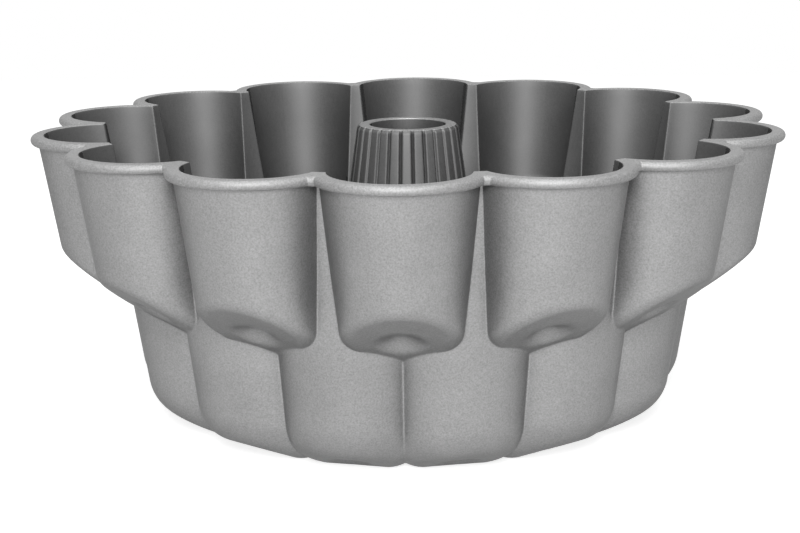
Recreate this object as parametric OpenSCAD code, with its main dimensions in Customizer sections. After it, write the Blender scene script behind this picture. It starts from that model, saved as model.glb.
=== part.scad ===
// Tiered, fluted tube pan, cast in one piece and drawn as the features that it is made of.
// The origin is on the axis in the plane that the pan rests on, +Z is up, and one upper flute faces -Y.
// The first flute of a tier is worked out along +X; the lower tier stands half a pitch round from the upper.

/* [Pan] */
// Height from the table to the flat top of the rim
pan_h = 104.5; // [100:0.5:112]
// Thickness of the cast wall
wall = 2.5; // [2:0.1:3]
// Number of flutes in each tier
flutes = 14; // [13:1:15]

/* [Rim] */
// Height of the bead round the rim
bead_h = 3.2; // [2.6:0.1:4.5]
// Overhang of the bead beyond the wall
bead_out = 2.3; // [1.7:0.1:3]
// Reach of the small web in each notch of the bead, beyond the notch's bottom
web_out = 1.5; // [0.5:0.1:2.5]

/* [Upper tier] */
// Radius at which the upper flutes stand, at the rim
upper_ring_r = 104.8; // [102:0.2:107]
// How far an upper flute's radius at the rim goes past half the way to its neighbour
upper_overlap = 1.3; // [0.9:0.1:2.5]
// Outward lean of an upper flute, in degrees
upper_lean = 3.4; // [2.6:0.1:4.2]
// Taper of an upper flute on each side, in degrees
upper_taper = 6; // [5.2:0.1:6.8]
// Depth below the rim at which the upper undersides run out in the lower creases
ledge_drop = 62.8; // [59:0.2:66]
// Slope of the upper undersides, in degrees
upper_slope = 35.5; // [32:0.5:38]
// Corner radius under an upper flute
upper_corner_r = 6; // [4.5:0.1:7]

/* [Lower tier] */
// How far in from the upper flutes the lower ones stand, at the rim
tier_step = 21.3; // [20:0.1:22.5]
// How far a lower flute's radius at the rim goes past half the way to its neighbour
lower_overlap = 8.2; // [7.4:0.1:9]
// Outward lean of a lower flute, in degrees
lower_lean = 7.2; // [6.4:0.1:8]
// Taper of a lower flute on each side, in degrees
lower_taper = 1.7; // [1:0.1:2.4]
// Height of a lower flute's outer corner over the table
base_rise = 11; // [9:0.2:12]
// Slope of the lower undersides, in degrees
lower_slope = 24.5; // [22:0.5:27]
// Corner radius under a lower flute
lower_corner_r = 16.5; // [13:0.5:18]

/* [Thumbprints] */
// Radius of the round thumbprint in each underside
print_r = 8.2; // [6:0.2:9]
// Depth of a thumbprint
print_depth = 2.4; // [1:0.1:3]
// Distance of an upper thumbprint's middle from the lower crease
upper_print_out = 12; // [10.5:0.5:14]
// Distance of a lower thumbprint's middle from its underside's inner edge
lower_print_out = 8.4; // [8.2:0.2:9.4]

/* [Floor and tube] */
// How far in from the inner edge of the lower undersides the floor ring starts
seam_in = 5; // [3:0.5:8]
// Radius over the tube's ribs at its top
tube_top_r = 17.9; // [16:0.1:19]
// Thickness of the tube at its top
tube_wall = 4.4; // [4:0.1:4.8]
// Radius of the tube's outer edge at its top
tube_edge_r = 1.8; // [1:0.1:2.4]
// Depth of the tube's top below the rim
tube_drop = 0.8; // [0:0.2:6]
// Spread of the tube's side, in degrees
tube_spread = 8; // [6:0.5:9]
// Radius of the flare at the tube's foot
foot_r = 9; // [6:0.5:10]
// Number of ribs round the tube
ribs = 28; // [24:2:32]
// Width of the grooves between the ribs
groove_w = 1.6; // [1.2:0.1:2]
// Depth of the grooves
groove_depth = 0.9; // [0.6:0.1:1.2]

/* [Hidden] */
pitch = 360 / flutes;
half = pitch / 2;
// Direction that the first flute faces
front = -90;
outside_grey = "#8e8f90";
bead_grey = "#a3a4a5";
inside_grey = "#6d6e70";
// Overrun of every cutting solid
over = wall / 3;
// Fineness of true curves, and steps of the lofted ones
$fn = 96;
edge_steps = 32;
arc_steps = 7;
crown_steps = 5;
crown_rows = 8;
land_steps = 2;
corner_steps = 3;
slope_steps = 4;
// Halvings of a search, and the widest angle that one looks at
halvings = 36;
widest = 130;
// The rim's height, and the ring and flute radii there
rim_z = pan_h;
lower_ring_r = upper_ring_r - tier_step;
upper_flute_r = upper_ring_r * sin(half) + upper_overlap;
lower_flute_r = lower_ring_r * sin(half) + lower_overlap;

// Vector helpers
function unit(v) = v / norm(v);
function flat_of(p) = [p.x, p.y];
function turned(p, a) = [p.x * cos(a) - p.y * sin(a), p.x * sin(a) + p.y * cos(a), p.z];
function polar(p) = atan2(p.y, p.x);

// Value at which a rising function passes zero, by halving
function root(f, low, high, left = halvings) =
    let(mid = (low + high) / 2)
    left == 0 ? mid : f(mid) > 0 ? root(f, low, mid, left - 1) : root(f, mid, high, left - 1);

// Point where the line from a along b passes the plane through p that slopes down to the axis
function on_plane(a, b, p, slope) =
    let(up = [-tan(slope), 0, 1])
    a + b * (up * (p - a)) / (up * b);

// A flute is [ring radius, flute radius, lean, taper, point on its underside, slope, corner radius].
// Its side is a round cone that leans outwards from the pan's axis, measured at the rim.
function top_of(f) = [f[0], 0, rim_z];
function axis_of(f) = [-sin(f[2]), 0, -cos(f[2])];
function spoke(f, a) = [cos(f[2]) * cos(a), sin(a), -sin(f[2]) * cos(a)];
function side_top(f, a) = top_of(f) + f[1] * spoke(f, a);
function side_way(f, a) = axis_of(f) - tan(f[3]) * spoke(f, a);
function side_at(f, a, z) = on_plane(side_top(f, a), side_way(f, a), [0, 0, z], 0);
function corner_at(f, a) = on_plane(side_top(f, a), side_way(f, a), f[4], f[5]);
function seat_of(f) = on_plane(top_of(f), axis_of(f), f[4], f[5]);

// How deep a point lies inside a flute that stands at an angle
function inside(f, p, angle) =
    let(v = turned(p, -angle) - top_of(f), along = v * axis_of(f))
    f[1] - along * tan(f[3]) - norm(v - along * axis_of(f));

// Way round the corner under a flute, from its side at w = 0 to its underside at w = 1
function corner_way(f, a, w) =
    let(
        corner = corner_at(f, a),
        up = -unit(side_way(f, a)),
        in = unit(seat_of(f) - corner),
        opening = acos(up * in),
        bend = 180 - opening,
        run = f[6] / tan(opening / 2),
        centre = corner + unit(up + in) * f[6] / sin(opening / 2),
        start = corner + up * run,
        end = corner + in * run
    )
    centre + (sin((1 - w) * bend) * (start - centre) + sin(w * bend) * (end - centre)) / sin(bend);

// Point of a lower flute at a polar angle and a height
function wall_at(f, angle, z) =
    let(
        way = [cos(angle), sin(angle), 0],
        r = root(function(r) -inside(f, [r * way.x, r * way.y, z], 0), f[0] / 2, f[0] + 2 * f[1])
    )
    [r * way.x, r * way.y, z];

// The two tiers, outside and inside. Each underside is fixed by one point:
// the lower one by its outer corner, and the upper one by where it runs out in the crease of the lower tier.
function inner_flute(f) =
    [f[0], f[1] - wall / cos(f[3]), f[2], f[3], f[4] + [0, 0, wall / cos(f[5])], f[5],
        max(f[6] - wall, wall / 3)];
lower_cone = [lower_ring_r, lower_flute_r, lower_lean, lower_taper];
lower_out = concat(lower_cone, [side_at(lower_cone, 0, base_rise), lower_slope, lower_corner_r]);
ledge_end = [norm(flat_of(wall_at(lower_cone, half, rim_z - ledge_drop))), 0, rim_z - ledge_drop];
upper_out = [upper_ring_r, upper_flute_r, upper_lean, upper_taper, ledge_end, upper_slope, upper_corner_r];
upper_in = inner_flute(upper_out);
lower_in = inner_flute(lower_out);

// Heights at which the features part, in the straight stretches of the walls
bead_z = rim_z - bead_h;
shoulder_top_z = max(corner_way(upper_out, 0, 0).z, corner_way(upper_in, 0, 0).z) + over;
shoulder_low_z = ledge_end.z - wall;
crown_top_z = max(corner_way(lower_out, 0, 0).z, corner_way(lower_in, 0, 0).z) + over;

// A thumbprint lifts the casting by the distance from its middle, which lies on the underside
function print_at(f, x) = on_plane([x, 0, 0], [0, 0, 1], f[4], f[5]);
function pressed(f, p, x) =
    let(d = norm(p - print_at(f, x)) / print_r)
    d >= 1 ? p : p + print_depth * (1 - d * d) * (1 - d * d) * [-sin(f[5]), 0, cos(f[5])];
upper_print_x = ledge_end.x + upper_print_out;
lower_print_x = edge_x(lower_out, 0) + lower_print_out;

// One pitch of the upper tier, as an arc over a flute and the land beside it
function land_points(f, end) =
    let(width = half - polar(end))
    [for (i = [1 : land_steps - 1]) turned(wall_at(f, width * (2 * i / land_steps - 1), end.z), half)];
function with_land(arc, f) = concat(arc, land_points(f, arc[len(arc) - 1]));

function level_arc(u, l, z) =
    let(end = root(function(a) inside(l, side_at(u, a, z), half), 0, widest))
    [for (i = [-arc_steps : arc_steps]) side_at(u, end * i / arc_steps, z)];
function corner_arc(u, l, w) =
    let(end = root(function(a) inside(l, corner_way(u, a, w), half), 0, widest))
    [for (i = [-arc_steps : arc_steps]) corner_way(u, end * i / arc_steps, w)];

// Where an upper underside runs into the lower tier's wall
function height_under(u, p) = u[4].z + (p.x - u[4].x) * tan(u[5]);
function meeting_point(u, l, angle) =
    let(
        turn = angle < 0 ? -half : half,
        height = root(function(z) z - height_under(u, turned(wall_at(l, angle - turn, z), turn)),
            l[4].z, rim_z)
    )
    turned(wall_at(l, angle - turn, height), turn);
function meeting_arc(u, l, arc) =
    let(end = polar(arc[2 * arc_steps]))
    [for (i = [0 : 2 * arc_steps])
        i == 0 || i == 2 * arc_steps ? arc[i] : meeting_point(u, l, end * (i / arc_steps - 1))];
function slope_arc(u, from, to, t) =
    [for (i = [0 : 2 * arc_steps])
        i == 0 || i == 2 * arc_steps ? from[i]
        : pressed(u, from[i] + t * (to[i] - from[i]), upper_print_x)];

// Rings of the shoulder from its top down to the lower wall, outside or inside
function shoulder_rings(u, l, bottom_z) =
    let(
        last = corner_arc(u, l, 1),
        meet = meeting_arc(u, l, last),
        arcs = concat(
            [level_arc(u, l, shoulder_top_z)],
            [for (i = [0 : corner_steps]) corner_arc(u, l, i / corner_steps)],
            [for (i = [1 : slope_steps - 1]) slope_arc(u, last, meet, i / slope_steps)],
            [meet]
        ),
        pitches = [for (arc = arcs) with_land(arc, l)],
        foot = [for (p = pitches[len(pitches) - 1])
            let(turn = polar(p) < 0 ? -half : half) turned(wall_at(l, polar(p) - turn, bottom_z), turn)]
    )
    concat(pitches, [foot]);

// Rings of the crown from its top down to a level floor, outside or inside.
// Each way down goes round the corner and then across the underside towards a point below the level.
// A lower flute's underside meets the level in a straight edge, from crease to crease.
function edge_x(f, z) = f[4].x + (z - f[4].z) / tan(f[5]);
function hub_of(f, z) = on_plane([edge_x(f, z) - f[1] / 3, 0, 0], [0, 0, 1], f[4], f[5]);
function crown_way(f, a, w, z) =
    w > 1 ? corner_way(f, a, 1) + (w - 1) * (hub_of(f, z) - corner_way(f, a, 1)) : corner_way(f, a, w);
function crown_point(f, a, t, z) =
    let(reach = root(function(w) z - crown_way(f, a, w, z).z, 0, 2))
    crown_way(f, a, t * reach, z);
function past_crease(p) = p.y - p.x * tan(half);
function crown_arc(way) =
    let(end = root(function(a) past_crease(way(a)), 0, widest))
    [for (i = [1 - crown_steps : crown_steps]) way(end * i / crown_steps)];
function crown_rings(f, z) =
    let(edge = [for (p = crown_arc(function(a) crown_point(f, a, 1, z))) [p.x, p.y, z]])
    concat(
        [crown_arc(function(a) side_at(f, a, crown_top_z))],
        [for (i = [0 : crown_rows - 1])
            [for (p = crown_arc(function(a) crown_point(f, a, i / crown_rows, z)))
                pressed(f, p, lower_print_x)]],
        [edge, [for (p = edge) [floor_r * cos(polar(p)), floor_r * sin(polar(p)), z]]]
    );

// Closed loft round the pan: the rings of one pitch are repeated and joined, down the outside and up the inside
function backwards(v) = [for (i = [len(v) - 1 : -1 : 0]) v[i]];
module ring_loft(outer, inner, start) {
    rows = concat(outer, backwards(inner));
    n = len(rows[0]);
    round = n * flutes;
    points = [for (row = rows, k = [0 : flutes - 1], p = row) turned(p, start + k * pitch)];
    faces = [for (j = [0 : len(rows) - 1], i = [0 : round - 1])
        let(
            a = j * round + i,
            b = j * round + (i + 1) % round,
            c = ((j + 1) % len(rows)) * round + (i + 1) % round,
            d = ((j + 1) % len(rows)) * round + i
        )
        each [[a, b, c], [a, c, d]]];
    whole = [for (f = faces)
        if (points[f[0]] != points[f[1]] && points[f[1]] != points[f[2]] && points[f[2]] != points[f[0]]) f];
    polyhedron(points, whole, convexity = 10);
}

// Solid cone of one flute. Its leaning ends clear the rim and the levels at which it is cut.
module flute_cone(f) {
    length = pan_h / cos(f[2]);
    rise = over + f[1] * tan(f[2]);
    translate(top_of(f))
        rotate([0, f[2], 0])
        translate([0, 0, -length])
        cylinder(h = length + rise, r1 = f[1] - length * tan(f[3]), r2 = f[1] + rise * tan(f[3]));
}

module around(start) {
    for (k = [0 : flutes - 1])
        rotate([0, 0, start + k * pitch])
        children();
}

module level_slab(low, high) {
    translate([0, 0, low])
        cylinder(h = high - low, r = upper_ring_r + 2 * upper_flute_r);
}

// Both tiers' cones between two heights
module tier_solid(u, l, low, high) {
    intersection() {
        union() {
            around(front) flute_cone(u);
            around(front + half) flute_cone(l);
        }
        level_slab(low, high);
    }
}

// Disc with a full round edge
module bead_disc(reach) {
    edge = bead_h / 2;
    rotate_extrude() {
        square([reach - edge, bead_h]);
        translate([reach - edge, edge]) intersection() {
            circle(r = edge, $fn = edge_steps);
            translate([0, -edge]) square([edge, bead_h]);
        }
    }
}

module rim_bead() {
    lobe_r = upper_flute_r + bead_out;
    reach_in = upper_ring_r * sin(half);
    notch_r = upper_ring_r * cos(half) + sqrt(lobe_r * lobe_r - reach_in * reach_in);
    color(bead_grey) difference() {
        union() {
            around(front) translate([upper_ring_r, 0, bead_z]) bead_disc(lobe_r);
            translate([0, 0, bead_z]) bead_disc(notch_r + web_out);
        }
        around(front) flute_cone(upper_in);
        around(front + half) flute_cone(lower_in);
        translate([0, 0, bead_z - over])
            cylinder(h = bead_h + 2 * over, r = lower_ring_r);
    }
}

module upper_flutes() {
    color(outside_grey) difference() {
        tier_solid(upper_out, lower_out, shoulder_top_z, bead_z);
        around(front) flute_cone(upper_in);
        around(front + half) flute_cone(lower_in);
        level_slab_core(shoulder_top_z, bead_z);
    }
}

// Middle of the pan inside the ring of cones
module level_slab_core(low, high) {
    translate([0, 0, low - over])
        cylinder(h = high - low + 2 * over, r = lower_ring_r - (rim_z - low) * tan(lower_lean));
}

module shoulder() {
    color(outside_grey)
        ring_loft(
            shoulder_rings(upper_out, lower_out, shoulder_low_z),
            shoulder_rings(upper_in, lower_in, shoulder_low_z),
            front
        );
}

module lower_flutes() {
    color(outside_grey) difference() {
        intersection() {
            around(front + half) flute_cone(lower_out);
            level_slab(crown_top_z, shoulder_low_z);
        }
        around(front + half) flute_cone(lower_in);
        level_slab_core(crown_top_z, shoulder_low_z);
    }
}

module crown() {
    color(outside_grey)
        ring_loft(crown_rings(lower_out, 0), crown_rings(lower_in, wall), front + half);
}

module floor_ring() {
    color(inside_grey) difference() {
        cylinder(h = wall, r = floor_r);
        translate([0, 0, -over]) cylinder(h = wall + 2 * over, r = tube_foot_r);
    }
}

// The tube's sides, carried straight down to the table, and its flare, round from its side to the floor
tube_top_z = rim_z - tube_drop;
tube_low_r = tube_top_r + tube_top_z * tan(tube_spread);
hole_top_r = tube_top_r - tube_wall;
hole_low_r = hole_top_r + tube_top_z * tan(tube_spread);
tube_foot_r = tube_low_r + foot_r / cos(tube_spread) - (wall + foot_r) * tan(tube_spread);
flare_z = wall + foot_r - foot_r * sin(tube_spread);
floor_r = edge_x(lower_in, wall) - seam_in;
edge_centre = [tube_top_r + tube_edge_r * (tan(tube_spread) - 1 / cos(tube_spread)), tube_top_z - tube_edge_r];

module tube_section() {
    difference() {
        union() {
            polygon([[hole_low_r, 0], [tube_low_r, 0],
                edge_centre + tube_edge_r * [cos(tube_spread), sin(tube_spread)], edge_centre,
                edge_centre + [0, tube_edge_r], [hole_top_r, tube_top_z]]);
            translate(edge_centre) circle(r = tube_edge_r, $fn = edge_steps);
            polygon([[hole_low_r, 0], [tube_foot_r, 0], [tube_foot_r, flare_z],
                [tube_low_r - flare_z * tan(tube_spread), flare_z]]);
        }
        translate([tube_foot_r, wall + foot_r]) circle(r = foot_r);
    }
}

// Sharp groove down the tube's side, from past its top to the flare
module groove() {
    length = (tube_top_z - flare_z) / cos(tube_spread);
    translate([tube_low_r - (flare_z + over) * tan(tube_spread), 0, flare_z + over])
        rotate([0, -tube_spread, 0])
        linear_extrude(height = length + over)
        polygon([[-groove_depth, 0], [0, -groove_w / 2], [over, -groove_w / 2], [over, groove_w / 2],
            [0, groove_w / 2]]);
}

module centre_tube() {
    color(inside_grey) difference() {
        rotate_extrude() tube_section();
        for (k = [0 : ribs - 1])
            rotate([0, 0, front + (k + 1 / 2) * 360 / ribs])
            groove();
    }
}

rim_bead();
upper_flutes();
shoulder();
lower_flutes();
crown();
floor_ring();
centre_tube();
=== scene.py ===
import math

import bmesh
import bpy
import numpy as np
from mathutils import Matrix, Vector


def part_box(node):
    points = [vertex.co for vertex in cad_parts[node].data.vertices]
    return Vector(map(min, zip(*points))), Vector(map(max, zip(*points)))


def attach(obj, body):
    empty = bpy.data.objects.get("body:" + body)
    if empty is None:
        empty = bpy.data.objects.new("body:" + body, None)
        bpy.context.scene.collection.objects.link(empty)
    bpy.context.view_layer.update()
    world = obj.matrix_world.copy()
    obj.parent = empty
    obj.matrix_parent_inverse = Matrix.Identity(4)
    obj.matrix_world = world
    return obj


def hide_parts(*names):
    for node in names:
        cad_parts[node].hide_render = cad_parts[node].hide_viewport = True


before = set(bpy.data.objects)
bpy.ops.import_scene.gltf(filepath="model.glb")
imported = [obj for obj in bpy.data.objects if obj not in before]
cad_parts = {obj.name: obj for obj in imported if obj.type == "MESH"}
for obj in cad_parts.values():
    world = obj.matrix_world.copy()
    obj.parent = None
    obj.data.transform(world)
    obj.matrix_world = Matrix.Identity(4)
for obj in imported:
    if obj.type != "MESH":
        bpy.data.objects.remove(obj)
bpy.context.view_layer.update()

# The pan is one casting. Its skin is worked out here at full smoothness: rows of points run round the pan,
# from the inside floor up to the rim and down the outside to the base, and each feature is a closed loft of
# the rows that bound it. The sizes are those of the solids, but the upper thumbprints are a little larger.
# Lengths are in millimetres until a mesh is made, and angles are in degrees.
MM = 0.001
FLUTES = 14
PITCH = 360 / FLUTES
HALF = PITCH / 2
FRONT = -90

# Heights and radii that the solids fix
bead_low, bead_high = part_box("rim_bead")
RIM_Z = bead_high.z / MM
BEAD_Z = bead_low.z / MM
SHOULDER_TOP_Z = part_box("shoulder")[1].z / MM
SHOULDER_LOW_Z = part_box("shoulder")[0].z / MM
CROWN_TOP_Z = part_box("crown")[1].z / MM
FLOOR_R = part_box("floor_ring")[1].x / MM
TUBE_TOP_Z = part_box("centre_tube")[1].z / MM

# The casting
WALL = 2.5
BEAD_OUT = 2.3
WEB_OUT = 1.5
UPPER_RING = 104.8
UPPER_OVERLAP = 1.3
UPPER_LEAN = 3.4
UPPER_TAPER = 6.0
UPPER_SLOPE = 35.5
UPPER_CORNER = 6.0
LEDGE_DROP = 62.8
TIER_STEP = 21.3
LOWER_OVERLAP = 8.2
LOWER_LEAN = 7.2
LOWER_TAPER = 1.7
LOWER_SLOPE = 24.5
LOWER_CORNER = 16.5
BASE_RISE = 11.0
UPPER_PRINT_R = 9.2
UPPER_PRINT_DEPTH = 3.0
UPPER_PRINT_OUT = 12.6
LOWER_PRINT_R = 8.2
LOWER_PRINT_DEPTH = 2.4
LOWER_PRINT_OUT = 8.4

# The tube
RIBS = 28
TUBE_TOP_R = 17.9
TUBE_WALL = 4.4
TUBE_EDGE_R = 1.8
TUBE_SPREAD = 8.0
FOOT_R = 9.0
GROOVE_W = 1.6
GROOVE_DEPTH = 0.9

# Rounding of the edges, as the distance from the edge at which it starts
CREASE_REACH = 0.6
RIM_REACH = 0.7
UNDER_BEAD_REACH = 0.35
LEDGE_REACH = 0.9
BASE_REACH = 1.6
BORE_EDGE = 0.45

# The widest azimuth on a flute at which its crease is looked for
WIDEST = 130

# Fineness of the skin
ARC_STEPS = 40
LAND_STEPS = 5
SOFT_STEPS = 4
EDGE_ROWS = 10
CORNER_ROWS = 12
SLOPE_ROWS = 22
WALL_ROWS = 8
CROWN_ROWS = 34
RIB_STEPS = 8
GROOVE_STEPS = 8
FLARE_ROWS = 8
FADE_ROWS = 5
RIB_ROWS = 15
TOP_EDGE_ROWS = 8
BORE_EDGE_ROWS = 4
BORE_ROWS = 11

# Points this many reaches from an edge and nearer make room for its rounding
ROOM = 3

# Points nearer than this are one, and edges sharper than this angle are shaded sharp
MERGE_WITHIN = 0.002
SHARP_ANGLE = 38


def sin(a):
    return np.sin(np.radians(a))


def cos(a):
    return np.cos(np.radians(a))


def tan(a):
    return np.tan(np.radians(a))


def point(x, y, z):
    return np.stack(np.broadcast_arrays(x, y, z), -1).astype(float)


def length(v):
    return np.linalg.norm(v, axis=-1)


def unit(v):
    return v / length(v)[..., None]


def dot(a, b):
    return (a * b).sum(-1)


def turned(p, a):
    return point(p[..., 0] * cos(a) - p[..., 1] * sin(a), p[..., 0] * sin(a) + p[..., 1] * cos(a), p[..., 2])


def polar(p):
    return np.degrees(np.arctan2(p[..., 1], p[..., 0]))


def root(rising, low, high, halvings=40):
    """Where a rising function passes zero, for every value of its argument at once."""
    low, high = np.array(low, float), np.array(high, float)
    for _ in range(halvings):
        middle = (low + high) / 2
        above = rising(middle) > 0
        high = np.where(above, middle, high)
        low = np.where(above, low, middle)
    return (low + high) / 2


def on_plane(start, way, through, slope):
    """Where lines meet the plane through a point that slopes down towards the pan's axis."""
    up = point(-tan(slope), 0, 1)
    return start + way * (dot(through - start, up) / dot(way, up))[..., None]


class Flute:
    """A round cone that leans outwards from the pan's axis, with a sloping underside and a rounded corner."""

    def __init__(self, ring, radius, lean, taper, slope, corner, under=None):
        # under is a point of the underside's plane
        self.ring, self.radius, self.lean, self.taper = ring, radius, lean, taper
        self.slope, self.corner, self.under = slope, corner, under
        self.top = point(ring, 0, RIM_Z)
        self.axis = point(-sin(lean), 0, -cos(lean))

    def inner(self):
        """The same flute one wall further in."""
        under = self.under + point(0, 0, WALL / cos(self.slope))
        corner = max(self.corner - WALL, WALL / 3)
        return Flute(self.ring, self.radius - WALL / cos(self.taper), self.lean, self.taper, self.slope,
                     corner, under)

    def spoke(self, a):
        return point(cos(self.lean) * cos(a), sin(a), -sin(self.lean) * cos(a))

    def azimuth(self, p):
        v = p - self.top
        return np.degrees(np.arctan2(v[..., 1], dot(v, self.spoke(0))))

    def side_down(self, a):
        return self.axis - tan(self.taper) * self.spoke(a)

    def side(self, a, z):
        """The point of the side at an azimuth about the flute's own axis and a height."""
        start = self.top + self.radius * self.spoke(a)
        return on_plane(start, self.side_down(a), point(0, 0, z), 0)

    def corner_way(self, a, w):
        """The way round the corner, from the side at w = 0 to the underside at w = 1."""
        start = self.top + self.radius * self.spoke(a)
        knee = on_plane(start, self.side_down(a), self.under, self.slope)
        seat = on_plane(self.top, self.axis, self.under, self.slope)
        up, across = -unit(self.side_down(a)), unit(seat - knee)
        opening = np.degrees(np.arccos(dot(up, across)))
        bend = 180 - opening
        run = (self.corner / tan(opening / 2))[..., None]
        middle = knee + unit(up + across) * (self.corner / sin(opening / 2))[..., None]
        first, last = knee + up * run - middle, knee + across * run - middle
        share_first = (sin((1 - w) * bend) / sin(bend))[..., None]
        share_last = (sin(w * bend) / sin(bend))[..., None]
        return middle + share_first * first + share_last * last

    def depth_inside(self, p, angle):
        """How deep points lie inside this flute when it stands at an angle round the pan."""
        v = turned(p, -angle) - self.top
        along_axis = dot(v, self.axis)
        return self.radius - along_axis * tan(self.taper) - length(v - along_axis[..., None] * self.axis)

    def wall_at(self, angle, z):
        """The outermost point at a polar angle, seen from the pan's axis, and a height."""
        angle, z = np.broadcast_arrays(np.asarray(angle, float), np.asarray(z, float))
        low = np.full(angle.shape, self.ring / 2)
        high = np.full(angle.shape, self.ring + 2 * self.radius)
        r = root(lambda r: -self.depth_inside(point(r * cos(angle), r * sin(angle), z), 0), low, high)
        return point(r * cos(angle), r * sin(angle), z)

    def under_z(self, x):
        return self.under[2] + (x - self.under[0]) * tan(self.slope)

    def under_x(self, z):
        return self.under[0] + (z - self.under[2]) / tan(self.slope)

    def pressed(self, p, x, radius, depth):
        """Points of the underside, lifted where the thumbprint is whose middle lies at x."""
        d = np.clip(length(p - point(x, 0, self.under_z(x))) / radius, 0, 1)
        lift = depth * (1 - d * d) ** 2
        return p + lift[..., None] * point(-sin(self.slope), 0, cos(self.slope))


def make_tiers():
    """The outer flutes of both tiers, each with its underside fixed by one point."""
    ring = UPPER_RING - TIER_STEP
    lower = Flute(ring, ring * sin(HALF) + LOWER_OVERLAP, LOWER_LEAN, LOWER_TAPER, LOWER_SLOPE, LOWER_CORNER)
    lower.under = lower.side(0, BASE_RISE)
    crease = lower.wall_at(HALF, RIM_Z - LEDGE_DROP)
    upper = Flute(UPPER_RING, UPPER_RING * sin(HALF) + UPPER_OVERLAP, UPPER_LEAN, UPPER_TAPER, UPPER_SLOPE,
                  UPPER_CORNER, point(length(crease[:2]), 0, crease[2]))
    return upper, lower


upper_out, lower_out = make_tiers()
UPPER_PRINT_X = upper_out.under[0] + UPPER_PRINT_OUT
LOWER_PRINT_X = lower_out.under_x(0) + LOWER_PRINT_OUT

# A row is one pitch of a ring, from the middle of one land over an upper flute to the middle of the next.
ARC_SHARES = np.linspace(-1, 1, ARC_STEPS + 1)
FIRST = LAND_STEPS
MIDDLE = LAND_STEPS + ARC_STEPS // 2
LAST = LAND_STEPS + ARC_STEPS
INSIDE_ARC = slice(FIRST + 1, LAST)


def with_lands(arc, land):
    """An arc and half of the land on each side of it. The land runs on from the arc's end."""
    before = land[::-1] * point(1, -1, 1)
    return np.concatenate([before, arc, land])


def flute_row(lower, way):
    """A row over an upper flute, trimmed by the lower tier, from a way that gives its points by azimuth."""
    end = root(lambda a: lower.depth_inside(way(a), HALF), 0, WIDEST)
    arc = way(end * ARC_SHARES)
    width = polar(arc[-1]) - HALF
    shares = np.linspace(1, 0, LAND_STEPS + 1)[1:]
    return with_lands(arc, turned(lower.wall_at(width * shares, arc[-1][2]), HALF))


def facing(row):
    """The angle at which the lower flute stands that each point of a row belongs to."""
    return np.where(np.arange(len(row)) < MIDDLE, -HALF, HALF)


def ledge_row(upper, lower, above):
    """Where an upper underside meets the lower tier's wall."""
    row = above.copy()
    angle = polar(above[LAST]) * ARC_SHARES[1:-1]
    turn = facing(row)[INSIDE_ARC]

    def too_high(z):
        return z - upper.under_z(turned(lower.wall_at(angle - turn, z), turn)[..., 0])

    z = root(too_high, np.full(angle.shape, lower.under[2]), np.full(angle.shape, RIM_Z))
    row[INSIDE_ARC] = turned(lower.wall_at(angle - turn, z), turn)
    return row


def slope_row(upper, first, last, t):
    row = first + t * (last - first)
    row[INSIDE_ARC] = upper.pressed(row[INSIDE_ARC], UPPER_PRINT_X, UPPER_PRINT_R, UPPER_PRINT_DEPTH)
    return row


def wall_row(lower, above, z):
    """A row of the lower tier's wall, straight below another."""
    turn = facing(above)
    return turned(lower.wall_at(polar(above) - turn, z), turn)


def crown_rows(lower, start, level):
    """Rows round the corner and across the undersides of the lower flutes, down to a level."""
    turn = facing(start)
    # The underside's rows run towards a hub that lies beyond the level
    hub_x = lower.under_x(level) - lower.radius / 3
    hub = point(hub_x, 0, lower.under_z(hub_x))

    def way(a, w):
        corner = lower.corner_way(a, np.minimum(w, 1))
        return corner + np.maximum(w - 1, 0)[..., None] * (hub - corner)

    def crown_point(a, t):
        shape = np.broadcast_shapes(np.shape(a), np.shape(t))
        reach = root(lambda w: level - way(a, w)[..., 2], np.zeros(shape), np.full(shape, 2.0))
        return way(a, t * reach)

    def past_crease(p):
        return p[..., 1] - p[..., 0] * tan(HALF)

    top_end = root(lambda a: past_crease(lower.side(a, start[0][2])), 0, WIDEST)
    shares = lower.azimuth(turned(start, -turn)) / top_end
    t = np.linspace(0, 1, CROWN_ROWS + 1)
    # The search for the crease's end stops where a flute first reaches it, or stands furthest round
    tried = np.linspace(0, WIDEST, 2 * WIDEST + 1)
    angles = polar(crown_point(tried[:, None], t))
    crossed = angles >= HALF
    bound = tried[np.where(crossed.any(0), crossed.argmax(0), angles.argmax(0))]
    ends = root(lambda a: past_crease(crown_point(a, t)), np.zeros(t.shape), bound)
    points = crown_point(ends[:, None] * shares, t[:, None])
    # Near the base a flute no longer reaches the crease, which then runs straight down
    crease_r = np.minimum.accumulate(length(points[:, MIDDLE, :2]))
    points[:, MIDDLE] = point(crease_r * cos(HALF), -crease_r * sin(HALF), points[:, MIDDLE, 2])
    points[:-1] = lower.pressed(points[:-1], LOWER_PRINT_X, LOWER_PRINT_R, LOWER_PRINT_DEPTH)
    points[-1, :, 2] = level
    return list(turned(points, turn))


def circle_row(above, radius, level):
    angle = polar(above)
    return point(radius * cos(angle), radius * sin(angle), level)


def bead_row(inset, z):
    """A row of the bead, at a distance inside its widest outline: a lobe and its share of the webs."""
    widest_lobe = upper_out.radius + BEAD_OUT
    lobe = widest_lobe - inset
    notch = UPPER_RING * cos(HALF) + math.sqrt(widest_lobe ** 2 - (UPPER_RING * sin(HALF)) ** 2)
    web = notch + WEB_OUT - inset
    end = math.degrees(math.acos((web ** 2 - UPPER_RING ** 2 - lobe ** 2) / (2 * UPPER_RING * lobe)))
    a = end * ARC_SHARES
    arc = point(UPPER_RING + lobe * cos(a), lobe * sin(a), z)
    angle = np.linspace(polar(arc[-1]), HALF, LAND_STEPS + 1)[1:]
    return with_lands(arc, point(web * cos(angle), web * sin(angle), z))


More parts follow.
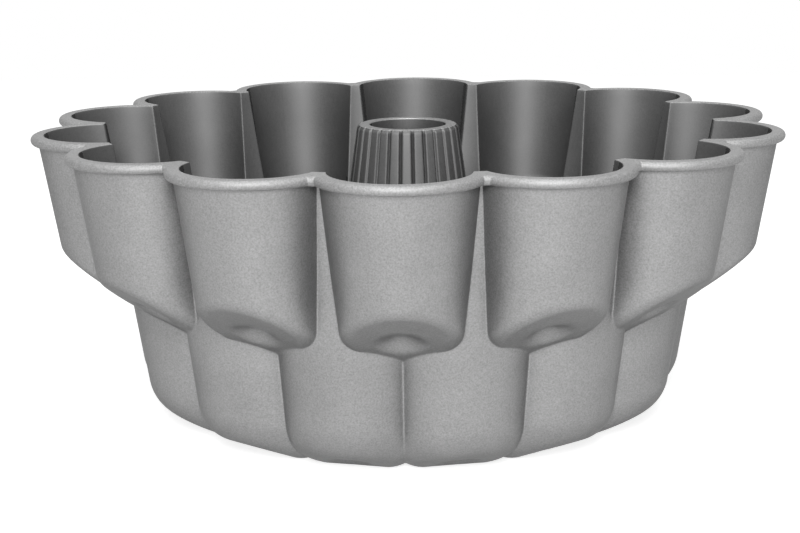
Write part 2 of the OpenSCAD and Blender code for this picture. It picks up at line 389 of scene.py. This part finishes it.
class Chain:
    """Rows from the inside floor over the rim to the base, with marks where features part, and edges."""

    def __init__(self):
        self.rows, self.marks, self.edges, self.creased = [], {}, {}, []

    def add(self, row, creased="ends", mark=None, edge=None):
        """Adds a row. Its creases stand at the ends of the upper flutes' arcs or at their middle."""
        self.rows.append(row)
        self.creased.append(creased)
        if mark:
            self.marks[mark] = len(self.rows) - 1
        if edge:
            self.edges[len(self.rows) - 1] = edge


def skin_rows(upper, lower, level):
    """One side of the casting, from the bead down: (row, where its creases are, mark, edge) for each row."""
    found = []
    for z in np.linspace(BEAD_Z, SHOULDER_TOP_Z, WALL_ROWS + 1):
        found.append([flute_row(lower, lambda a: upper.side(a, z)), "ends", None, None])
    found[0][2], found[-1][2] = "bead", "shoulder_top"
    for w in np.linspace(0, 1, CORNER_ROWS + 1):
        found.append([flute_row(lower, lambda a: upper.corner_way(a, w)), "ends", None, None])
    above = found[-1][0]
    ledge = ledge_row(upper, lower, above)
    for t in np.linspace(0, 1, SLOPE_ROWS + 1)[1:-1]:
        found.append([slope_row(upper, above, ledge, t), "ends", None, None])
    found.append([ledge, "middle", None, LEDGE_REACH])
    for t in np.linspace(0, 1, WALL_ROWS + 1)[1:]:
        level_z = ledge[:, 2] + t * (SHOULDER_LOW_Z - ledge[:, 2])
        found.append([wall_row(lower, ledge, level_z), "middle", None, None])
    found[-1][2] = "shoulder_low"
    for z in np.linspace(SHOULDER_LOW_Z, CROWN_TOP_Z, WALL_ROWS + 1)[1:]:
        found.append([wall_row(lower, ledge, z), "middle", None, None])
    found[-1][2] = "crown_top"
    found += [[row, "middle", None, None] for row in crown_rows(lower, found[-1][0], level)]
    found[-1][3] = BASE_REACH
    edge = found[-1][0]
    found.append([circle_row(edge, FLOOR_R, level), "none", "floor", None])
    found.append([circle_row(edge, TUBE_FOOT_R, level), "none", "foot", None])
    return found


def distances(line):
    return np.concatenate([[0], np.cumsum(np.maximum(length(np.diff(line, axis=0)), 1e-9))])


def along(line, at):
    """Points of a smooth line at distances along it."""
    s = distances(line)
    if len(line) == 2:
        return line[0] + (line[1] - line[0]) * (np.asarray(at) / s[-1])[..., None]
    way = np.gradient(line, s, axis=0)
    i = np.clip(np.searchsorted(s, at, side="right") - 1, 0, len(s) - 2)
    h = (s[i + 1] - s[i])[..., None]
    t = ((at - s[i]) / (s[i + 1] - s[i]))[..., None]
    return ((1 + 2 * t) * (1 - t) ** 2 * line[i] + t * (1 - t) ** 2 * h * way[i]
            + t * t * (3 - 2 * t) * line[i + 1] - t * t * (1 - t) * h * way[i + 1])


def softened(line, edges):
    """A line with the point at each edge replaced by a short curve. Edges are (index, reach, sharp)."""
    bounds = [0] + [e[0] for e in edges] + [len(line) - 1]
    reaches = [0] + [e[1] for e in edges] + [0]
    pieces = []
    for k in range(len(bounds) - 1):
        stretch = line[bounds[k]:bounds[k + 1] + 1]
        s = distances(stretch)
        most = s[-1] / (2 * ROOM)
        low, high = min(reaches[k], most), min(reaches[k + 1], most)
        at = np.where(s < ROOM * low, low + s * (ROOM - 1) / ROOM, s)
        at = np.where(s[-1] - s < ROOM * high, s[-1] - high - (s[-1] - s) * (ROOM - 1) / ROOM, at)
        pieces.append((stretch, s[-1], low, high, along(stretch, at)))
    result = [pieces[0][4][:-1]]
    t = np.linspace(0, 1, SOFT_STEPS + 1)
    half = SOFT_STEPS // 2
    for k, (index, reach, sharp) in enumerate(edges):
        before, after = pieces[k], pieces[k + 1]
        if sharp:
            start, end = along(before[0], before[1] - before[3]), along(after[0], after[2])
            share = t[:, None]
            curve = (1 - share) ** 2 * start + 2 * share * (1 - share) * line[index] + share ** 2 * end
        else:
            curve = np.concatenate([along(before[0], before[1] - before[3] * (1 - 2 * t[:half])),
                                    along(after[0], after[2] * (2 * t[half:] - 1))])
        result += [curve, after[4][1:-1]]
    result.append(line[-1:])
    return np.concatenate(result)


def build_chain():
    """The whole skin of one pitch as a grid of points, with the row numbers of its marks."""
    chain = Chain()
    upper_in, lower_in = upper_out.inner(), lower_out.inner()
    for row, creased, mark, edge in reversed(skin_rows(upper_in, lower_in, WALL)):
        chain.add(row, creased, mark and "inner_" + mark, edge)
    chain.add(flute_row(lower_in, lambda a: upper_in.side(a, RIM_Z)), mark="rim", edge=RIM_REACH)
    edge_r = (RIM_Z - BEAD_Z) / 2
    for turn in np.linspace(90, -90, EDGE_ROWS + 1):
        chain.add(bead_row(edge_r - edge_r * cos(turn), BEAD_Z + edge_r + edge_r * sin(turn)))
    outer = skin_rows(upper_out, lower_out, 0)
    outer[0][3] = UNDER_BEAD_REACH
    for row, creased, mark, edge in outer:
        chain.add(row, creased, mark and "outer_" + mark, edge)

    rows = []
    for row, creased in zip(chain.rows, chain.creased):
        rows.append(softened(row, [(FIRST, CREASE_REACH, creased == "ends"),
                                   (MIDDLE, CREASE_REACH, creased == "middle"),
                                   (LAST, CREASE_REACH, creased == "ends")])[:-1])
    grid = np.stack(rows)
    edges = sorted((index, reach, True) for index, reach in chain.edges.items())
    columns = [softened(grid[:, i], edges) for i in range(grid.shape[1])]
    marks = {}
    for mark, index in chain.marks.items():
        before = sum(e[0] < index for e in edges)
        at_edge = index in chain.edges
        marks[mark] = index + SOFT_STEPS * before + (SOFT_STEPS // 2 if at_edge else 0)
    skin_grid = np.stack(columns, 1)
    skin_grid[..., 2] = np.clip(skin_grid[..., 2], 0, RIM_Z)
    return skin_grid, marks


def closed_loft(name, rows, finishes, second):
    """A closed ring of rows round the pan. Faces take the first finish, or the second in a range of rows."""
    count, around = rows.shape[:2]
    corners = []
    for j in range(count):
        below = (j + 1) % count
        for i in range(around):
            right = (i + 1) % around
            corners.append((j * around + i, below * around + i, below * around + right, j * around + right))
    mesh = bpy.data.meshes.new(name)
    mesh.from_pydata((rows.reshape(-1, 3) * MM).tolist(), [], corners)
    for finish in finishes:
        mesh.materials.append(finish)
    face_rows = np.repeat(np.arange(count), around)
    in_second = (face_rows >= second[0]) & (face_rows < second[1])
    mesh.polygons.foreach_set("material_index", in_second.astype(np.int32))
    tidy = bmesh.new()
    tidy.from_mesh(mesh)
    bmesh.ops.remove_doubles(tidy, verts=tidy.verts, dist=MERGE_WITHIN * MM)
    bmesh.ops.dissolve_degenerate(tidy, edges=tidy.edges, dist=MERGE_WITHIN * MM)
    tidy.to_mesh(mesh)
    tidy.free()
    mesh.shade_smooth()
    mesh.set_sharp_from_angle(angle=math.radians(SHARP_ANGLE))
    piece = bpy.data.objects.new(name, mesh)
    bpy.context.scene.collection.objects.link(piece)
    return piece


def all_round(rows):
    """The rows of one pitch repeated round the pan."""
    return np.concatenate([turned(rows, FRONT + k * PITCH) for k in range(FLUTES)], 1)


# The tube's outline
TUBE_LOW_R = TUBE_TOP_R + TUBE_TOP_Z * tan(TUBE_SPREAD)
HOLE_LOW_R = TUBE_LOW_R - TUBE_WALL
TUBE_FOOT_R = TUBE_LOW_R + FOOT_R / cos(TUBE_SPREAD) - (WALL + FOOT_R) * tan(TUBE_SPREAD)
FLARE_Z = WALL + FOOT_R - FOOT_R * sin(TUBE_SPREAD)


def tube_rows():
    """Rows of the tube, from its foot up the ribs, over the top and down the bore, and the top's range."""
    rib = 360 / RIBS
    edge_z = TUBE_TOP_Z - TUBE_EDGE_R
    edge_r = TUBE_TOP_R + TUBE_EDGE_R * (tan(TUBE_SPREAD) - 1 / cos(TUBE_SPREAD))
    side_top = edge_z + TUBE_EDGE_R * sin(TUBE_SPREAD)
    fade = 3 * GROOVE_W
    # Each entry is a radius, a height and the share of the grooves' full depth
    profile = []
    for turn in np.linspace(-90, -180 + TUBE_SPREAD, FLARE_ROWS + 1):
        profile.append((TUBE_FOOT_R + FOOT_R * cos(turn), WALL + FOOT_R + FOOT_R * sin(turn), 0))
    for share in np.linspace(0, 1, FADE_ROWS + 1)[1:]:
        z = FLARE_Z + fade * share
        profile.append((TUBE_LOW_R - z * tan(TUBE_SPREAD), z, share * share * (3 - 2 * share)))
    for z in np.linspace(FLARE_Z + fade, side_top, RIB_ROWS + 1)[1:]:
        profile.append((TUBE_LOW_R - z * tan(TUBE_SPREAD), z, 1))
    top_from = len(profile) + TOP_EDGE_ROWS // 2
    for turn in np.linspace(TUBE_SPREAD, 90, TOP_EDGE_ROWS + 1)[1:]:
        profile.append((edge_r + TUBE_EDGE_R * cos(turn), edge_z + TUBE_EDGE_R * sin(turn), cos(turn)))
    bore_top = TUBE_TOP_Z - BORE_EDGE
    bore_r = HOLE_LOW_R - bore_top * tan(TUBE_SPREAD) + BORE_EDGE
    for turn in np.linspace(90, 180, BORE_EDGE_ROWS + 1):
        profile.append((bore_r + BORE_EDGE * cos(turn), bore_top + BORE_EDGE * sin(turn), 0))
    top_to = len(profile) - 1
    for z in np.linspace(bore_top, WALL / 3, BORE_ROWS + 1)[1:]:
        profile.append((HOLE_LOW_R - z * tan(TUBE_SPREAD), z, 0))
    profile.append((HOLE_LOW_R + WALL / 6, 0, 0))
    profile.append((TUBE_FOOT_R, 0, 0))
    rows = []
    half_groove = GROOVE_W / 2
    for r, z, groove in profile:
        in_groove = np.linspace(-half_groove, half_groove, GROOVE_STEPS + 1)[:-1]
        on_rib = np.linspace(half_groove, math.radians(rib) * r - half_groove, RIB_STEPS + 1)[:-1]
        across = np.concatenate([in_groove, on_rib])
        hollow = np.where(abs(across) < half_groove, (1 + cos(180 * across / half_groove)) / 2, 0)
        depth = GROOVE_DEPTH * groove * hollow
        angle = np.degrees(across / r) + rib / 2
        rows.append(point((r - depth) * cos(angle), (r - depth) * sin(angle), z))
    rows = np.stack(rows)
    return np.concatenate([turned(rows, FRONT + k * rib) for k in range(RIBS)], 1), (top_from, top_to)


# The noises of the cast metal, with scales per metre, and the range that most of a noise's values fill
SPECKLE_NOISE = {"scale": 1800, "detail": 4, "roughness": 0.65}
MOTTLE_NOISE = {"scale": 60, "detail": 3}
GRAIN_NOISE = {"scale": 900, "detail": 3, "roughness": 0.6}
NOISE_LOW, NOISE_HIGH = 0.3, 0.7
SPECKLE_LOW, SPECKLE_HIGH = 0.32, 0.68
MOTTLE = 0.05
ROUGHNESS_SPREAD = 0.06
GRAIN_HEIGHT = 0.06


def new_material(name):
    material = bpy.data.materials.new(name)
    material.use_nodes = True
    nodes, links = material.node_tree.nodes, material.node_tree.links
    return material, nodes, links, nodes["Principled BSDF"]


def noise(nodes, links, place, scale, detail, roughness=0.5):
    texture = nodes.new("ShaderNodeTexNoise")
    texture.inputs["Scale"].default_value = scale
    texture.inputs["Detail"].default_value = detail
    texture.inputs["Roughness"].default_value = roughness
    links.new(place, texture.inputs["Vector"])
    return texture.outputs["Fac"]


def ranged(nodes, links, value, from_low, from_high, low, high):
    step = nodes.new("ShaderNodeMapRange")
    step.inputs["From Min"].default_value = from_low
    step.inputs["From Max"].default_value = from_high
    step.inputs["To Min"].default_value = low
    step.inputs["To Max"].default_value = high
    links.new(value, step.inputs["Value"])
    return step.outputs["Result"]


def cast_finish(name, grey, speckle, roughness, bump, metallic, gloss, edge):
    """Cast metal under a thin coat: a fine speckle, a broad mottle and the grain of the mould."""
    material, nodes, links, shader = new_material(name)
    place = nodes.new("ShaderNodeTexCoord").outputs["Object"]
    fine = noise(nodes, links, place, **SPECKLE_NOISE)
    broad = noise(nodes, links, place, **MOTTLE_NOISE)
    ramp = nodes.new("ShaderNodeValToRGB")
    ramp.color_ramp.elements[0].position = SPECKLE_LOW
    ramp.color_ramp.elements[1].position = SPECKLE_HIGH
    for element, share in zip(ramp.color_ramp.elements, (1 - speckle, 1 + speckle)):
        element.color = (grey * share, grey * share, grey * share, 1)
    links.new(fine, ramp.inputs["Fac"])
    mottle = nodes.new("ShaderNodeMix")
    mottle.data_type = "RGBA"
    mottle.blend_type = "MULTIPLY"
    mottle.inputs["Factor"].default_value = 1
    shade = nodes.new("ShaderNodeCombineColor")
    for channel in ("Red", "Green", "Blue"):
        mottled = ranged(nodes, links, broad, NOISE_LOW, NOISE_HIGH, 1 - MOTTLE, 1 + MOTTLE)
        links.new(mottled, shade.inputs[channel])
    mix_a = [s for s in mottle.inputs if s.name == "A" and s.type == "RGBA"][0]
    mix_b = [s for s in mottle.inputs if s.name == "B" and s.type == "RGBA"][0]
    mixed = [s for s in mottle.outputs if s.type == "RGBA"][0]
    links.new(ramp.outputs["Color"], mix_a)
    links.new(shade.outputs["Color"], mix_b)
    links.new(mixed, shader.inputs["Base Color"])
    links.new(ranged(nodes, links, fine, NOISE_LOW, NOISE_HIGH, roughness - ROUGHNESS_SPREAD,
                     roughness + ROUGHNESS_SPREAD), shader.inputs["Roughness"])
    shader.inputs["Metallic"].default_value = metallic
    shader.inputs["Specular IOR Level"].default_value = gloss
    shader.inputs["Specular Tint"].default_value = (edge, edge, edge, 1)
    grain = nodes.new("ShaderNodeBump")
    grain.inputs["Strength"].default_value = bump
    grain.inputs["Distance"].default_value = GRAIN_HEIGHT * MM
    links.new(noise(nodes, links, place, **GRAIN_NOISE), grain.inputs["Height"])
    links.new(grain.outputs["Normal"], shader.inputs["Normal"])
    return material


outside = cast_finish("cast_outside", grey=0.27, speckle=0.22, roughness=0.53, bump=0.4, metallic=0.85,
                      gloss=0.1, edge=0.28)
bead_finish = cast_finish("bead_finish", grey=0.3, speckle=0.26, roughness=0.68, bump=0.6, metallic=0.9,
                          gloss=0.1, edge=0.2)
# The darker inside coat, which also covers the tube's bore as painted shade down the bore
inside_coat_and_bore_shade = cast_finish("inside_coat_and_bore_shade", grey=0.12, speckle=0.14, roughness=0.6, bump=0.2, metallic=0.95,
                          gloss=0.15, edge=0.1)

# The pieces, each in the place of the solid of the same name
grid, marks = build_chain()
skin = all_round(grid)


def add_piece(node, piece):
    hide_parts(node)
    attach(piece, "root")


def add_feature(node, top, bottom):
    """The piece between two marks: its outside, and one wall further in its inside."""
    outer = skin[marks["outer_" + top]:marks["outer_" + bottom] + 1]
    inner = skin[marks["inner_" + bottom]:marks["inner_" + top] + 1]
    rows = np.concatenate([outer, inner])
    loft = closed_loft(node + "_skin", rows, (outside, inside_coat_and_bore_shade), (len(outer), len(rows)))
    add_piece(node, loft)


bead_rows = skin[marks["inner_bead"]:marks["outer_bead"] + 1]
bead_band = (marks["rim"] - marks["inner_bead"], len(bead_rows))
add_piece("rim_bead",
          closed_loft("rim_bead_skin", bead_rows, (inside_coat_and_bore_shade, bead_finish), bead_band))
add_feature("upper_flutes", "bead", "shoulder_top")
add_feature("shoulder", "shoulder_top", "shoulder_low")
add_feature("lower_flutes", "shoulder_low", "crown_top")
add_feature("crown", "crown_top", "floor")
add_feature("floor_ring", "floor", "foot")
tube, top_band = tube_rows()
# The ribs take the inside coat and the top the outside finish; the bore takes the darker inside coat too, as
# painted shade in the bore
add_piece("centre_tube",
          closed_loft("centre_tube_skin", tube, (inside_coat_and_bore_shade, outside), top_band))


# Floor, lamps and world
def pale_to_eye(nodes, links):
    """One for rays from the camera, from gloss and through glass, which see the plain pale background."""
    path = nodes.new("ShaderNodeLightPath")
    seen = path.outputs["Is Camera Ray"]
    for name in ("Is Glossy Ray", "Is Transmission Ray"):
        either = nodes.new("ShaderNodeMath")
        either.operation = "MAXIMUM"
        links.new(seen, either.inputs[0])
        links.new(path.outputs[name], either.inputs[1])
        seen = either.outputs["Value"]
    return seen


def make_floor(half_width, grey, pale_grey, glow):
    """A plain floor with the pan's shadow, grey in the light it returns to the pan and pale to the eye."""
    corners = [(-half_width, -half_width, 0), (half_width, -half_width, 0),
               (half_width, half_width, 0), (-half_width, half_width, 0)]
    mesh = bpy.data.meshes.new("floor")
    mesh.from_pydata(corners, [], [(0, 1, 2, 3)])
    floor = bpy.data.objects.new("floor", mesh)
    bpy.context.scene.collection.objects.link(floor)
    paper, nodes, links, shader = new_material("paper")
    nodes.remove(shader)
    plain, pale = nodes.new("ShaderNodeBsdfDiffuse"), nodes.new("ShaderNodeBsdfDiffuse")
    plain.inputs["Color"].default_value = (grey, grey, grey, 1)
    pale.inputs["Color"].default_value = (pale_grey, pale_grey, pale_grey, 1)
    light = nodes.new("ShaderNodeEmission")
    light.inputs["Strength"].default_value = glow
    bright, chosen = nodes.new("ShaderNodeAddShader"), nodes.new("ShaderNodeMixShader")
    links.new(pale.outputs["BSDF"], bright.inputs[0])
    links.new(light.outputs["Emission"], bright.inputs[1])
    links.new(pale_to_eye(nodes, links), chosen.inputs["Fac"])
    links.new(plain.outputs["BSDF"], chosen.inputs[1])
    links.new(bright.outputs["Shader"], chosen.inputs[2])
    links.new(chosen.outputs["Shader"], nodes["Material Output"].inputs["Surface"])
    mesh.materials.append(paper)


def make_world(strength):
    """A plain white surround, weaker to the pan than to the eye."""
    world = bpy.data.worlds.new("studio")
    world.use_nodes = True
    bpy.context.scene.world = world
    nodes, links = world.node_tree.nodes, world.node_tree.links
    nodes["Background"].inputs["Color"].default_value = (1, 1, 1, 1)
    links.new(ranged(nodes, links, pale_to_eye(nodes, links), 0, 1, strength, 1),
              nodes["Background"].inputs["Strength"])


def add_lamp(name, azimuth, elevation, distance, size, power):
    """A soft square lamp that faces the pan's middle."""
    lamp = bpy.data.lights.new(name, "AREA")
    lamp.shape = "SQUARE"
    lamp.size = size
    lamp.energy = power
    away = point(cos(elevation) * cos(azimuth), cos(elevation) * sin(azimuth), sin(elevation))
    side = unit(np.cross([0, 0, 1], away))
    place = away * distance + point(0, 0, RIM_Z / 2 * MM)
    columns = (side, np.cross(away, side), away, place)
    lamp_object = bpy.data.objects.new(name, lamp)
    lamp_object.matrix_world = Matrix([list(row) for row in np.stack(columns, 1)] + [[0, 0, 0, 1]])
    bpy.context.scene.collection.objects.link(lamp_object)


# Lengths here are in metres
make_floor(half_width=1, grey=0.08, pale_grey=0.6, glow=0.78)
make_world(strength=0.03)
add_lamp("key", azimuth=-90, elevation=27, distance=1.5, size=0.4, power=25)
add_lamp("over", azimuth=-90, elevation=82, distance=1.8, size=1.4, power=23)

# Camera, fitted to the photograph: its place over the rim, the way it looks and its turn about the view
CAMERA_DISTANCE = 645.6
CAMERA_OVER_TUBE = 93.3
CAMERA_ROUND = 1.3884
CAMERA_YAW = -0.2911
CAMERA_PITCH = 12.6959
CAMERA_ROLL = -0.6097
FOCAL_PIXELS = 1829.08
FRAME_PIXELS = 800
SENSOR = 36


def add_camera():
    camera = bpy.data.cameras.new("camera")
    camera.sensor_width = SENSOR
    camera.lens = SENSOR * FOCAL_PIXELS / FRAME_PIXELS
    camera.clip_end = 100
    forward = point(sin(CAMERA_YAW) * cos(CAMERA_PITCH), cos(CAMERA_YAW) * cos(CAMERA_PITCH),
                    -sin(CAMERA_PITCH))
    level = point(cos(CAMERA_YAW), -sin(CAMERA_YAW), 0)
    upright = np.cross(level, forward)
    right = cos(CAMERA_ROLL) * level + sin(CAMERA_ROLL) * upright
    up = cos(CAMERA_ROLL) * upright - sin(CAMERA_ROLL) * level
    place = point(0, -CAMERA_DISTANCE, TUBE_TOP_Z + CAMERA_OVER_TUBE) * MM
    columns = [turned(v, CAMERA_ROUND) for v in (right, up, -forward, place)]
    camera_object = bpy.data.objects.new("camera", camera)
    camera_object.matrix_world = Matrix([list(row) for row in np.stack(columns, 1)] + [[0, 0, 0, 1]])
    bpy.context.scene.collection.objects.link(camera_object)
    bpy.context.scene.camera = camera_object


add_camera()
bpy.context.scene.view_settings.view_transform = "Standard"
